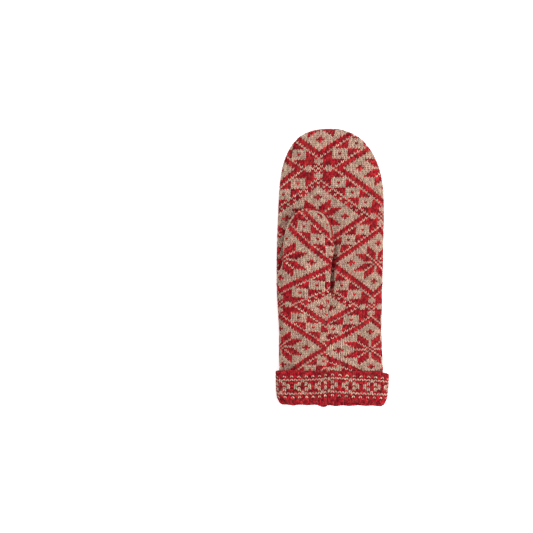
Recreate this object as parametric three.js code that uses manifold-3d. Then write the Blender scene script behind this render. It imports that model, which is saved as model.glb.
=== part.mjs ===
// A knitted mitten that lies on its back, palm up, with its thumb over the palm and its cuff turned up.
// X runs across the hand with the thumb at -X, Y runs along it to the finger tip, Z is up. Millimetres.
import * as THREE from 'three';
import { mergeVertices } from 'three/addons/utils/BufferGeometryUtils.js';
import Module from 'manifold-3d';

const wasm = await Module();
wasm.setup();

// Thickness of the knit, straight and where it turns round a side seam
const WALL = 2.6;
const SIDE_WALL = 3.2;
// Clearances between pieces that are sewn together, and between layers that lie on each other
const SEAM_GAP = 0.3;
const HALF_GAP = SEAM_GAP / 2;
const LAYER_GAP = 0.75;

// The hand, seen from above: an outline in a short table, closed by a rounded tip
const HAND = [
  { y: -121, left: -46.7, right: 46.5, thick: 12.3 },
  { y: -94, left: -49.0, right: 46.7, thick: 13.3 },
  { y: -58, left: -49.3, right: 45.4, thick: 15.0 },
  { y: -14, left: -51.4, right: 46.4, thick: 16.0 },
  { y: 34, left: -50.7, right: 47.4, thick: 15.6 },
  { y: 62, left: -49.6, right: 47.7, thick: 15.2 },
  { y: 128, left: -49.6, right: 47.7, thick: 13.4 },
];
const HAND_TIP = { x: -1.5, y: 127.3, leftFrom: 48, leftRound: 2.8, rightFrom: 56, rightRound: 2.3 };
const HAND_FADE = { from: 84, round: 2.2 };
// Half the hand's usual width, by which the hollow is narrower on both sides alike
const HALF_HAND = 48.5;
// Height of the side seam as a share of the thickness, and how boxy the rolled edges are
const SEAM_SHARE = 0.45;
const EDGE_POWER = 0.7;
// The back lies flat on the ground except near its edges, and rises where the cuff is turned up round it
const FLAT_SHARE = 1.2;
const LIFT = { from: -80, to: -93 };

// The thumb, seen from above
const THUMB = [
  { y: -40, left: -50.2, right: -4.5 },
  { y: -16, left: -51.2, right: -2.4 },
  { y: 2, left: -46.4, right: -1.0 },
  { y: 14, left: -45.7, right: 0.9 },
  { y: 26, left: -45.6, right: 1.2 },
  { y: 55, left: -45.6, right: 1.2 },
];
const THUMB_TIP = { x: -21, y: 54.1, leftFrom: 12, leftRound: 2.25, rightFrom: 20, rightRound: 2.6 };
const THUMB_FADE = { from: 30, round: 2.2 };
const THUMB_THICK = 11;
// Where the thumb starts: the crotch at the palm seam, and the side where it leaves the hand's edge
const CROTCH = { x: -2.4, y: -23.3 };
const THUMB_HEEL = { x: -52, y: -10 };
const PALM_SEAM_X = -4.4;
// Along y, where the edges of the front panel leave the hand, and where the panel arches up into the thumb
const LEAVE_LEFT = { from: -18, to: 6 };
const LEAVE_RIGHT = { from: -46, to: 0 };
const CROTCH_BEND = 6;
const ARCH = { from: -92, to: -14 };
// The dent that the thumb presses into the palm: its depth, and where each side starts and is full
const PRESS = {
  depth: 3.4,
  left: { from: -58, to: -44 },
  right: { from: 12, to: -6 },
  near: { from: -64, to: -26 },
  far: { from: 70, to: 46 },
};
// The back of the thumb starts inside the crotch, and is cut off a little above the line of the heel
const THUMB_BACK_START = -33;
const THUMB_BACK_CUT = { x: 8, setBack: 0.4 };

// The turned cuff: hem, fold and the short inner leg that runs on from the hand's wall
const CUFF = [
  { y: -127.1, left: -47.2, right: 46.8, thick: 17.2 },
  { y: -123.8, left: -49.2, right: 48.6, thick: 17.8 },
  { y: -119, left: -51.2, right: 50.4, thick: 18.4 },
  { y: -108, left: -52.1, right: 51.7, thick: 19.0 },
  { y: -94.5, left: -52.2, right: 52.1, thick: 19.4 },
];
const HEM_Y = -94.6;
const FOLD_Y = -126.85;
const INNER_LEG_Y = -121;
// The hem and the fold both slope a little across the hand, and the walls inside follow towards their ends
const CUFF_SLOPE = -0.013;
const WALL_SLOPE = { from: -98, to: -118 };
// The hem droops where it turns round the sides
const HEM_DROOP = { left: 0.7, right: 2.2, power: 8, from: -112 };
const HEM_ROUND = 0.8;
const CUFF_SEAM_RISE = 0.5;
// Where the cuff's section has corners on its straight stretch, and how far above the fold its inside starts
const CUFF_STOPS = [-112, -103];
const INSIDE_FOLD = 0.4;
// The slit of the cuff's seam, through its palm side alone
const CUFF_SLIT = { far: -80, low: 9, high: 40 };

// The metal plate on the back, its slots, and the yarn that ties it on
const PLATE = {
  x: -1.5, y: -71.9, length: 31, width: 8.2, thick: 0.8, corner: 0.5, bevel: 0.15, cornerFacets: 3,
};
const PLATE_FACE_Z = 1.4;
const SLOT = { inset: 3.1, width: 1.7, length: 5.2, roundShare: 0.6, cut: 4 };
const TIE = { yarn: 0.9, low: 0.12, outward: 2.6, rise: 2.45, corner: 0.8, sides: 8, steps: 12 };
const PLATE_DENT = { depth: 2.8, halfLength: 18.4, halfWidth: 5.6, slope: 6 };

// Points closer than these are one point: in a new wall, and in a finished solid
const WELD = 1e-3;
const FINE_WELD = 1e-4;
// Faces thinner than this are merged into their neighbours after a cut
const SLIVER = 0.03;
// Places past the whole mitten, for blocks that cut through it
const PAST = { left: -60, near: -140, low: -5, high: 60, heel: 8 };

// Facets across each wall, and round the cuff
const COLUMNS = { palm: 18, back: 24, thumb: 16, cuff: 44 };
const FOLD_STEPS = 5;
// Where the closer rows of each rounded tip start, and how many there are
const HAND_TIP_ROWS = { from: 58, count: 9 };
const THUMB_TIP_ROWS = { from: 20, count: 8 };

const RED = { color: 0x9e1f2c, roughness: 0.95, metalness: 0 };
const HEATHER = { color: 0xb39a86, roughness: 0.95, metalness: 0 };
const STEEL = { color: 0xc9c8c6, roughness: 0.35, metalness: 1 };

function mix(a, b, share) {
  return a + (b - a) * share;
}

// Rises smoothly from 0 at the range's start to 1 at its end, in either direction
function ramp(range, value) {
  const share = Math.min(1, Math.max(0, (value - range.from) / (range.to - range.from)));
  return share * share * (3 - 2 * share);
}

// Reads one column of a table at y, along a smooth curve through its rows
function column(table, name, y) {
  const last = table.length - 1;
  let row = 0;
  while (row < last - 1 && y > table[row + 1].y) row += 1;
  const slopeAt = (index) => {
    const before = table[Math.max(0, index - 1)];
    const after = table[Math.min(last, index + 1)];
    return (after[name] - before[name]) / (after.y - before.y);
  };
  const from = table[row];
  const to = table[row + 1];
  const span = to.y - from.y;
  const share = Math.min(1, Math.max(0, (y - from.y) / span));
  const square = share * share;
  const cube = square * share;
  return (2 * cube - 3 * square + 1) * from[name] + (cube - 2 * square + share) * span * slopeAt(row)
    + (3 * square - 2 * cube) * to[name] + (cube - square) * span * slopeAt(row + 1);
}

// Falls from 1 to 0 along a rounded end, from where the end starts to its tip
function roundedEnd(y, from, tip, power) {
  const share = Math.min(1, Math.max(0, (y - from) / (tip - from)));
  return (1 - share ** power) ** (1 / power);
}

// Left and right edges of a form with a rounded tip
function outline(table, tip, y) {
  const leftEnd = roundedEnd(y, tip.leftFrom, tip.y, tip.leftRound);
  const rightEnd = roundedEnd(y, tip.rightFrom, tip.y, tip.rightRound);
  return {
    left: mix(tip.x, column(table, 'left', y), leftEnd),
    right: mix(tip.x, column(table, 'right', y), rightEnd),
  };
}

// The fullness of a flattened tube across its width: angle 0 is the left seam, PI the right one
function fullness(angle) {
  return Math.max(0, Math.sin(angle)) ** EDGE_POWER;
}

function across(left, right, angle) {
  return mix(left, right, (1 - Math.cos(angle)) / 2);
}

function angleAt(left, right, x) {
  const share = Math.min(1, Math.max(0, (x - left) / (right - left)));
  return Math.acos(1 - 2 * share);
}

// The hand's wall is lifted off the ground by the cuff that is turned up round it
function lift(y) {
  return (WALL + SEAM_GAP) * ramp(LIFT, y);
}

function handSize(y) {
  const edge = outline(HAND, HAND_TIP, y);
  const floor = lift(y);
  const thick = column(HAND, 'thick', y);
  const seam = floor + thick * SEAM_SHARE;
  const tipFade = roundedEnd(y, HAND_FADE.from, HAND_TIP.y, HAND_FADE.round);
  return { left: edge.left, right: edge.right, floor, seam, top: floor + thick, tipFade };
}

// The thumb presses a shallow dent into the palm below it
function press(x, y) {
  const sideways = ramp(PRESS.left, x) * ramp(PRESS.right, x);
  const lengthways = ramp(PRESS.near, y) * ramp(PRESS.far, y);
  return PRESS.depth * sideways * lengthways;
}

// The plate lies in a shallow dent of the back
function plateDent(x, y) {
  const alongX = Math.abs(x - PLATE.x) - PLATE_DENT.halfLength;
  const alongY = Math.abs(y - PLATE.y) - PLATE_DENT.halfWidth;
  const side = { from: PLATE_DENT.slope, to: 0 };
  return PLATE_DENT.depth * ramp(side, alongX) * ramp(side, alongY);
}

function palmHeight(x, y, inset) {
  const hand = handSize(y);
  const full = fullness(angleAt(hand.left, hand.right, x));
  return hand.seam + (hand.top - press(x, y) - inset - hand.seam) * full * hand.tipFade;
}

// Where the inner face of the hand's wall lies, for a point of its outer face
const INNER_SHARE_X = 1 - SIDE_WALL / HALF_HAND;
const INNER_SHARE_Y = 1 - SIDE_WALL / HAND_TIP.y;

function inwardX(x) {
  return mix(HAND_TIP.x, x, INNER_SHARE_X);
}

function inwardY(y) {
  return y > 0 ? y * INNER_SHARE_Y : y;
}

// The walls end square to the cuff's slope
function slopedY(x, y) {
  return y + x * CUFF_SLOPE * ramp(WALL_SLOPE, y);
}

function palmOuter(y, angle) {
  const hand = handSize(y);
  const x = across(hand.left, hand.right, angle);
  const rise = (hand.top - press(x, y) - hand.seam) * fullness(angle) * hand.tipFade;
  return new THREE.Vector3(x, slopedY(x, y), hand.seam + Math.max(HALF_GAP, rise));
}

function palmInner(y, angle) {
  const hand = handSize(y);
  const x = across(hand.left, hand.right, angle);
  const rise = (hand.top - WALL - press(x, y) - hand.seam) * fullness(angle) * hand.tipFade;
  return new THREE.Vector3(inwardX(x), slopedY(x, inwardY(y)), hand.seam + Math.max(HALF_GAP, rise));
}

function backOuter(y, angle) {
  const hand = handSize(y);
  const x = across(hand.left, hand.right, angle);
  const share = Math.min(1, FLAT_SHARE * fullness(angle) * hand.tipFade);
  const drop = (hand.seam - hand.floor) * share - plateDent(x, y);
  return new THREE.Vector3(x, slopedY(x, y), hand.seam - Math.max(HALF_GAP, drop));
}

function backInner(y, angle) {
  const hand = handSize(y);
  const x = across(hand.left, hand.right, angle);
  const share = Math.min(1, FLAT_SHARE * fullness(angle) * hand.tipFade);
  const drop = (hand.seam - hand.floor - WALL) * share - plateDent(x, y);
  return new THREE.Vector3(inwardX(x), slopedY(x, inwardY(y)), hand.seam - Math.max(HALF_GAP, drop));
}

// The thumb is a smaller flattened tube that lies on the pressed palm
function thumbSize(y) {
  const edge = outline(THUMB, THUMB_TIP, y);
  const middle = (edge.left + edge.right) / 2;
  const bed = palmHeight(middle, y, 0) + LAYER_GAP;
  return {
    left: edge.left,
    right: edge.right,
    seam: bed + THUMB_THICK * SEAM_SHARE,
    top: bed + THUMB_THICK,
    tipFade: roundedEnd(y, THUMB_FADE.from, THUMB_TIP.y, THUMB_FADE.round),
  };
}

// The front of the thumb and the lower left palm are one panel, whose edges leave the hand at the thumb
function frontSize(y) {
  const hand = handSize(y);
  const thumb = thumbSize(y);
  const leaveLeft = ramp(LEAVE_LEFT, y);
  const leaveRight = ramp(LEAVE_RIGHT, y);
  const intoThumb = ramp({ from: CROTCH.y - CROTCH_BEND, to: CROTCH.y }, y);
  return {
    left: mix(hand.left, thumb.left, leaveLeft),
    right: mix(PALM_SEAM_X - HALF_GAP, thumb.right, intoThumb),
    leftZ: mix(hand.seam, thumb.seam, leaveLeft) + HALF_GAP,
    rightZ: mix(palmHeight(PALM_SEAM_X, y, 0), thumb.seam + HALF_GAP, leaveRight),
    top: thumb.top,
    tipFade: thumb.tipFade,
    leaveRight,
    arch: ramp(ARCH, y),
  };
}

function frontPoint(y, angle, inset) {
  const front = frontSize(y);
  const x = across(front.left, front.right, angle);
  const edgeZ = mix(front.leftZ, front.rightZ, (1 - Math.cos(angle)) / 2);
  const flatZ = palmHeight(x, y, inset) + press(x, y) * (1 - front.leaveRight);
  const archZ = edgeZ + (front.top - inset - edgeZ) * fullness(angle) * front.tipFade;
  return new THREE.Vector3(x, slopedY(x, y), mix(flatZ, archZ, front.arch));
}

function frontOuter(y, angle) {
  const front = frontSize(y);
  const point = frontPoint(y, angle, 0);
  if (angle === 0) point.z = front.leftZ;
  if (angle === Math.PI) point.z = front.rightZ;
  return point;
}

function frontInner(y, angle) {
  const front = frontSize(y);
  const share = (1 - Math.cos(angle)) / 2;
  const point = frontPoint(y, angle, WALL);
  if (angle === 0) point.z = front.leftZ;
  if (angle === Math.PI) point.z = front.rightZ - WALL * (1 - front.leaveRight);
  point.x += mix(SIDE_WALL, -SIDE_WALL * front.leaveRight, share);
  if (y > 0) point.y = y * (1 - SIDE_WALL / THUMB_TIP.y);
  return point;
}

function thumbBackPoint(y, angle, inset) {
  const front = frontSize(y);
  const thumb = thumbSize(y);
  const x = across(front.left, front.right, angle);
  const bedZ = palmHeight(x, y, 0) + LAYER_GAP;
  const rimZ = mix(front.leftZ, front.rightZ, (1 - Math.cos(angle)) / 2) - LAYER_GAP;
  const share = Math.min(1, FLAT_SHARE * fullness(angle) * thumb.tipFade);
  return new THREE.Vector3(x, y, mix(Math.max(rimZ, bedZ), bedZ + inset, share));
}

function thumbBackOuter(y, angle) {
  return thumbBackPoint(y, angle, 0);
}

function thumbBackInner(y, angle) {
  const point = thumbBackPoint(y, angle, WALL);
  const front = frontSize(y);
  point.x += mix(SIDE_WALL, -SIDE_WALL, (1 - Math.cos(angle)) / 2);
  point.x = Math.min(Math.max(point.x, front.left), front.right);
  if (y > 0) point.y = y * (1 - SIDE_WALL / THUMB_TIP.y);
  return point;
}

// Rows along y, closer together towards a rounded tip
function rowsTo(start, stops, tip, close) {
  const rows = [start, ...stops];
  for (let step = 0; step <= close.count; step += 1) {
    const turn = (Math.PI / 2) * (step / close.count);
    rows.push(close.from + (tip - close.from) * Math.sin(turn));
  }
  return rows;
}

// A closed wall between an outer and an inner face, both given as points over rows and angles
function wall(rows, columns, outerAt, innerAt) {
  const positions = [];
  const index = [];
  const faceStart = [];
  for (const faceAt of [outerAt, innerAt]) {
    faceStart.push(positions.length / 3);
    for (const y of rows) {
      for (let step = 0; step <= columns; step += 1) {
        const point = faceAt(y, step === columns ? Math.PI : (Math.PI * step) / columns);
        positions.push(point.x, point.y, point.z);
      }
    }
  }
  const at = (face, row, step) => faceStart[face] + row * (columns + 1) + step;
  const quad = (a, b, c, d) => index.push(a, b, c, a, c, d);
  const lastRow = rows.length - 1;
  for (let row = 0; row < lastRow; row += 1) {
    for (let step = 0; step < columns; step += 1) {
      quad(at(0, row, step), at(0, row, step + 1), at(0, row + 1, step + 1), at(0, row + 1, step));
      quad(at(1, row, step), at(1, row + 1, step), at(1, row + 1, step + 1), at(1, row, step + 1));
    }
    quad(at(0, row, 0), at(0, row + 1, 0), at(1, row + 1, 0), at(1, row, 0));
    quad(at(0, row, columns), at(1, row, columns), at(1, row + 1, columns), at(0, row + 1, columns));
  }
  for (let step = 0; step < columns; step += 1) {
    quad(at(0, 0, step), at(1, 0, step), at(1, 0, step + 1), at(0, 0, step + 1));
    quad(at(0, lastRow, step), at(0, lastRow, step + 1), at(1, lastRow, step + 1), at(1, lastRow, step));
  }
  return closedGeometry(positions, index);
}

// Merges shared points, drops the faces that a rounded tip leaves with no area, and faces the rest outward
function closedGeometry(positions, index) {
  const loose = new THREE.BufferGeometry();
  loose.setAttribute('position', new THREE.Float32BufferAttribute(positions, 3));
  loose.setIndex(index);
  const merged = mergeVertices(loose, WELD);
  const corners = merged.index.array;
  const kept = [];
  for (let face = 0; face < corners.length; face += 3) {
    const [a, b, c] = corners.slice(face, face + 3);
    if (a !== b && b !== c && c !== a) kept.push(a, b, c);
  }
  if (signedVolume(merged.attributes.position, kept) < 0) kept.reverse();
  merged.setIndex(kept);
  return merged;
}

function signedVolume(position, index) {
  const [a, b, c] = [new THREE.Vector3(), new THREE.Vector3(), new THREE.Vector3()];
  let volume = 0;
  for (let face = 0; face < index.length; face += 3) {
    a.fromBufferAttribute(position, index[face]);
    b.fromBufferAttribute(position, index[face + 1]);
    c.fromBufferAttribute(position, index[face + 2]);
    volume += a.dot(b.cross(c)) / 6;
  }
  return volume;
}

function solidOf(geometry) {
  const bare = geometry.clone();
  for (const name of ['normal', 'uv']) bare.deleteAttribute(name);
  const merged = mergeVertices(bare, FINE_WELD);
  return new wasm.Manifold(new wasm.Mesh({
    numProp: 3,
    vertProperties: new Float32Array(merged.attributes.position.array),
    triVerts: new Uint32Array(merged.index.array),
  }));
}

// The largest body of a solid without slivers, because a cut along a thin edge can leave a crumb
function geometryOf(solid) {
  const bodies = solid.simplify(SLIVER).decompose();
  bodies.sort((a, b) => b.volume() - a.volume());
  const mesh = bodies[0].getMesh();
  const geometry = new THREE.BufferGeometry();
  geometry.setAttribute('position', new THREE.Float32BufferAttribute(mesh.vertProperties, 3));
  geometry.setIndex(Array.from(mesh.triVerts));
  return geometry;
}

// A copy that stands proud by the given amount, to cut room for its neighbours
function grown(geometry, amount) {
  const copy = geometry.clone();
  copy.computeVertexNormals();
  const position = copy.attributes.position;
  const normal = copy.attributes.normal;
  for (let point = 0; point < position.count; point += 1) {
    position.setXYZ(
      point,
      position.getX(point) + normal.getX(point) * amount,
      position.getY(point) + normal.getY(point) * amount,
      position.getZ(point) + normal.getZ(point) * amount,
    );
  }
  return copy;
}

// An upright block over a plan outline, given as corners [x, y]
function uprightBlock(corners, low, high) {
  const shape = new THREE.Shape(corners.map(([x, y]) => new THREE.Vector2(x, y)));
  const geometry = new THREE.ExtrudeGeometry(shape, { depth: high - low, bevelEnabled: false });
  geometry.translate(0, 0, low);
  return geometry;
}

// The part of the plan on the cuff's side of the line where the thumb opens into the hand
function belowThumb(edgeX, setBack) {
  const slope = (THUMB_HEEL.y - CROTCH.y) / (THUMB_HEEL.x - CROTCH.x);
  const edgeY = CROTCH.y + slope * (edgeX - CROTCH.x) + setBack;
  const heelX = THUMB_HEEL.x - PAST.heel;
  const heelY = THUMB_HEEL.y - slope * PAST.heel + setBack;
  return [[edgeX, PAST.near], [edgeX, edgeY], [heelX, heelY], [PAST.left, PAST.near]];
}

// Rows that the panels share, so that their facets meet alike along the seams
const LOW_STOPS = [-108, -98, -93, -88, -84, -80, -74, -67, -60, -52, -44, -36, -30, -24, -18, -12, -6];
const HAND_STOPS = [...LOW_STOPS, 2, 11, 20, 30, 40, 49];
const FRONT_STOPS = [...LOW_STOPS, 0, 7, 14];

function handWall(stops, outerAt, innerAt, columns) {
  const rows = rowsTo(INNER_LEG_Y + SEAM_GAP, stops, HAND_TIP.y, HAND_TIP_ROWS);
  return wall(rows, columns, outerAt, innerAt);
}

function thumbWall(start, stops, outerAt, innerAt) {
  const rows = rowsTo(start, stops, THUMB_TIP.y, THUMB_TIP_ROWS);
  return wall(rows, COLUMNS.thumb, outerAt, innerAt);
}

function buildPanels() {
  const front = thumbWall(INNER_LEG_Y + SEAM_GAP, FRONT_STOPS, frontOuter, frontInner);
  const frontRoom = solidOf(grown(front, SEAM_GAP));
  const palmPlan = belowThumb(PALM_SEAM_X + HALF_GAP, 0);
  const palm = solidOf(handWall(HAND_STOPS, palmOuter, palmInner, COLUMNS.palm))
    .subtract(solidOf(uprightBlock(palmPlan, PAST.low, PAST.high)))
    .subtract(frontRoom);
  const backStops = FRONT_STOPS.filter((y) => y > THUMB_BACK_START);
  const backPlan = belowThumb(THUMB_BACK_CUT.x, THUMB_BACK_CUT.setBack);
  const thumbBack = solidOf(thumbWall(THUMB_BACK_START, backStops, thumbBackOuter, thumbBackInner))
    .subtract(solidOf(uprightBlock(backPlan, PAST.low, PAST.high)))
    .subtract(frontRoom);
  return {
    back_panel: handWall(HAND_STOPS, backOuter, backInner, COLUMNS.back),
    palm_panel: geometryOf(palm),
    thumb_front_panel: front,
    thumb_back_panel: geometryOf(thumbBack),
  };
}

// One point of the cuff, at a depth below its outer face, for an angle all the way round
function cuffPoint(y, depth, angle) {
  const left = column(CUFF, 'left', y) + depth;
  const right = column(CUFF, 'right', y) - depth;
  const thick = column(CUFF, 'thick', y);
  const seam = thick * SEAM_SHARE + CUFF_SEAM_RISE;
  const turn = angle % (2 * Math.PI);
  const upper = turn <= Math.PI;
  const full = fullness(upper ? turn : 2 * Math.PI - turn);
  const x = across(left, right, upper ? turn : 2 * Math.PI - turn);
  const z = upper
    ? seam + (thick - depth - seam) * full
    : seam - (seam - depth) * Math.min(1, FLAT_SHARE * full);
  const sideways = Math.cos(turn) ** HEM_DROOP.power * ramp({ from: HEM_DROOP.from, to: HEM_Y }, y);
  const droop = (x < 0 ? HEM_DROOP.left : HEM_DROOP.right) * sideways;
  return new THREE.Vector3(x, y + x * CUFF_SLOPE - droop, z);
}

// The cuff's section: up the outside to the hem, back down inside it, round the fold and up the inner leg
function cuffSection() {
  const depthAll = 2 * WALL + SEAM_GAP;
  const foldRadius = depthAll / 2;
  const foldCentre = FOLD_Y + foldRadius;
  const insideY = foldCentre + INSIDE_FOLD;
  const section = [
    { y: foldCentre, depth: 0 },
    ...CUFF_STOPS.map((y) => ({ y, depth: 0 })),
    { y: HEM_Y - HEM_ROUND, depth: 0 },
    { y: HEM_Y, depth: HEM_ROUND },
    { y: HEM_Y, depth: WALL - HEM_ROUND },
    { y: HEM_Y - HEM_ROUND, depth: WALL },
    ...CUFF_STOPS.toReversed().map((y) => ({ y, depth: WALL })),
    { y: insideY, depth: WALL },
    { y: insideY, depth: WALL + SEAM_GAP },
    { y: INNER_LEG_Y, depth: WALL + SEAM_GAP },
    { y: INNER_LEG_Y, depth: depthAll },
    { y: foldCentre, depth: depthAll },
  ];
  for (let step = 1; step < FOLD_STEPS; step += 1) {
    const turn = (Math.PI * step) / FOLD_STEPS;
    section.push({
      y: foldCentre - foldRadius * Math.sin(turn),
      depth: foldRadius + foldRadius * Math.cos(turn),
    });
  }
  return section;
}

function buildCuff() {
  const section = cuffSection();
  const around = COLUMNS.cuff;
  const positions = [];
  const index = [];
  for (let turn = 0; turn < around; turn += 1) {
    for (const { y, depth } of section) {
      const point = cuffPoint(y, depth, (2 * Math.PI * turn) / around);
      positions.push(point.x, point.y, point.z);
    }
  }
  const count = section.length;
  for (let turn = 0; turn < around; turn += 1) {
    const here = turn * count;
    const next = ((turn + 1) % around) * count;
    for (let step = 0; step < count; step += 1) {
      const after = (step + 1) % count;
      index.push(here + step, here + after, next + after, here + step, next + after, next + step);
    }
  }
  const slit = uprightBlock([
    [PALM_SEAM_X - HALF_GAP, PAST.near],
    [PALM_SEAM_X + HALF_GAP, PAST.near],
    [PALM_SEAM_X + HALF_GAP, CUFF_SLIT.far],
    [PALM_SEAM_X - HALF_GAP, CUFF_SLIT.far],
  ], CUFF_SLIT.low, CUFF_SLIT.high);
  return geometryOf(solidOf(closedGeometry(positions, index)).subtract(solidOf(slit)));
}

// A slot with one straight side towards the plate's middle and round corners on the other
function slotShape(side) {
  const outer = side * (PLATE.length / 2 - SLOT.inset + SLOT.width / 2);
  const inner = outer - side * SLOT.width;
  const half = SLOT.length / 2;
  const round = SLOT.width * SLOT.roundShare;
  const shape = new THREE.Shape();
  shape.moveTo(inner, -half);
  shape.lineTo(outer - side * round, -half);
  shape.quadraticCurveTo(outer, -half, outer, -half + round);
  shape.lineTo(outer, half - round);
  shape.quadraticCurveTo(outer, half, outer - side * round, half);
  shape.lineTo(inner, half);
  return shape;
}

function plateShape() {
  const halfLength = PLATE.length / 2 - PLATE.bevel;
  const halfWidth = PLATE.width / 2 - PLATE.bevel;
  const { corner } = PLATE;
  const shape = new THREE.Shape();
  shape.moveTo(-halfLength + corner, -halfWidth);
  shape.lineTo(halfLength - corner, -halfWidth);
  shape.quadraticCurveTo(halfLength, -halfWidth, halfLength, -halfWidth + corner);
  shape.lineTo(halfLength, halfWidth - corner);
  shape.quadraticCurveTo(halfLength, halfWidth, halfLength - corner, halfWidth);
  shape.lineTo(-halfLength + corner, halfWidth);
  shape.quadraticCurveTo(-halfLength, halfWidth, -halfLength, halfWidth - corner);
  shape.lineTo(-halfLength, -halfWidth + corner);
  shape.quadraticCurveTo(-halfLength, -halfWidth, -halfLength + corner, -halfWidth);
  return shape;
}

function buildPlate() {
  const blank = new THREE.ExtrudeGeometry(plateShape(), {
    depth: PLATE.thick - 2 * PLATE.bevel,
    bevelThickness: PLATE.bevel,
    bevelSize: PLATE.bevel,
    bevelSegments: 1,
    curveSegments: PLATE.cornerFacets,
  });
  let plateSolid = solidOf(blank);
  for (const side of [-1, 1]) {
    const slot = new THREE.ExtrudeGeometry(slotShape(side), {
      depth: SLOT.cut,
      bevelEnabled: false,
      curveSegments: PLATE.cornerFacets,
    });
    slot.translate(0, 0, -SLOT.cut / 2);
    plateSolid = plateSolid.subtract(solidOf(slot));
  }
  return geometryOf(plateSolid);
}

// A loop of yarn that comes down through a slot, passes over the plate's end and goes back up into the knit
function buildTie(side) {
  const radius = TIE.yarn / 2;
  const slotX = side * (PLATE.length / 2 - SLOT.inset);
  const outX = side * (PLATE.length / 2 + TIE.outward - TIE.yarn);
  const low = TIE.low + radius;
  const path = new THREE.CurvePath();
  const { corner } = TIE;
  const points = [
    new THREE.Vector3(slotX, 0, TIE.rise),
    new THREE.Vector3(slotX, 0, low + corner),
    new THREE.Vector3(slotX + side * corner, 0, low),
    new THREE.Vector3(outX - side * corner, 0, low),
    new THREE.Vector3(outX, 0, low + corner),
    new THREE.Vector3(outX, 0, TIE.rise),
  ];
  path.add(new THREE.LineCurve3(points[0], points[1]));
  path.add(new THREE.QuadraticBezierCurve3(points[1], new THREE.Vector3(slotX, 0, low), points[2]));
  path.add(new THREE.LineCurve3(points[2], points[3]));
  path.add(new THREE.QuadraticBezierCurve3(points[3], new THREE.Vector3(outX, 0, low), points[4]));
  path.add(new THREE.LineCurve3(points[4], points[5]));
  const section = new THREE.Shape();
  section.absarc(0, 0, radius, 0, 2 * Math.PI, false);
  return new THREE.ExtrudeGeometry(section, {
    steps: TIE.steps,
    curveSegments: TIE.sides / 2,
    extrudePath: path,
  });
}

function named(name, geometry, finish) {
  const mesh = new THREE.Mesh(geometry, new THREE.MeshStandardMaterial(finish));
  mesh.name = name;
  return mesh;
}

const mitten = new THREE.Group();
for (const [name, geometry] of Object.entries(buildPanels())) {
  mitten.add(named(name, geometry, name === 'back_panel' ? RED : HEATHER));
}
mitten.add(named('turned_cuff', buildCuff(), RED));

const plate = named('label_plate', buildPlate(), STEEL);
plate.position.set(PLATE.x, PLATE.y, PLATE_FACE_Z + PLATE.bevel);
mitten.add(plate);
for (const [side, name] of [[-1, 'plate_tie_left'], [1, 'plate_tie_right']]) {
  const tie = named(name, buildTie(side), RED);
  tie.position.set(PLATE.x, PLATE.y, 0);
  mitten.add(tie);
}

export default mitten;
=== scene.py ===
"""The looks of a knitted mitten that lies palm up: the stitches of its two-colour knit, its seams and cuff.

Lengths are in millimetres until a mesh is made. X runs across the hand, Y towards the finger tip, Z is up.
"""

import math
from types import SimpleNamespace

import bpy
import numpy as np
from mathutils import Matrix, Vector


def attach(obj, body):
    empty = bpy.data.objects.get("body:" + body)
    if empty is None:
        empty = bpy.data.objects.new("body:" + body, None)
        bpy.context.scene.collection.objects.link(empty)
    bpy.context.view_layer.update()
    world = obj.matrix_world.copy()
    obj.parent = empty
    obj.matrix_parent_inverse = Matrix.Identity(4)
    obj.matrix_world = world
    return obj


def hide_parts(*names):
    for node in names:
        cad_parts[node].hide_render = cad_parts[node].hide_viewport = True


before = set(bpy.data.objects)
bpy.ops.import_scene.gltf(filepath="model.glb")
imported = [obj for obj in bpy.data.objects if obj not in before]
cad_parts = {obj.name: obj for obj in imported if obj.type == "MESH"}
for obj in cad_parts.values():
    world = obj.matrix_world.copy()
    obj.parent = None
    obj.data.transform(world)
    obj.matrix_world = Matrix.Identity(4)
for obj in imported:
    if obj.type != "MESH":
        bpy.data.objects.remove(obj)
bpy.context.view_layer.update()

RNG = np.random.default_rng(41)

# The photograph's scale, and its pixel where x and y are zero
PIXEL = 0.92
ORIGIN_PIXEL = (332.25, 267.3)
FRAME_PIXELS = 533

# The same named sizes as the CAD source
WALL = 2.6
SIDE_WALL = 3.2
HALF_HAND = 48.5
LAYER_GAP = 0.75
PLAY = 0.3
SEAM_SHARE = 0.45
EDGE_POWER = 0.7
FLAT_SHARE = 1.2
THUMB_THICK = 11
PALM_SEAM_X = -4.4
CROTCH = (-2.4, -23.3)
THUMB_HEEL = (-52, -10)
CUFF_SLOPE = -0.013
HEM_Y = -94.6
FRONT_RIM_LIFT = 0.15
FOLD_Y = -126.85
INNER_LEG_Y = -121
HAND = {
    "y": (-121, -94, -58, -14, 34, 62, 128),
    "left": (-46.7, -49.0, -49.3, -51.4, -50.7, -49.6, -49.6),
    "right": (46.5, 46.7, 45.4, 46.4, 47.4, 47.7, 47.7),
    "thick": (12.3, 13.3, 15.0, 16.0, 15.6, 15.2, 13.4),
}
HAND_TIP = {"x": -1.5, "y": 127.3, "left": (48, 2.8), "right": (56, 2.3), "fade": (84, 2.2)}
THUMB = {
    "y": (-40, -16, 2, 14, 26, 55),
    "left": (-50.2, -51.2, -46.4, -45.7, -45.6, -45.6),
    "right": (-4.5, -2.4, -1.0, 0.9, 1.2, 1.2),
}
THUMB_TIP = {"x": -21, "y": 54.1, "left": (12, 2.25), "right": (20, 2.6), "fade": (30, 2.2)}
CUFF = {
    "y": (-127.1, -123.8, -119, -108, -94.5),
    "left": (-47.2, -49.2, -51.2, -52.1, -52.2),
    "right": (46.8, 48.6, 50.4, 51.7, 52.1),
    "thick": (17.2, 17.8, 18.4, 19.0, 19.4),
}
PLATE = {"x": -1.5, "y": -71.9}
PLATE_DENT = {"depth": 2.8, "half_length": 18.4, "half_width": 5.6, "slope": 6}

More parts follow.
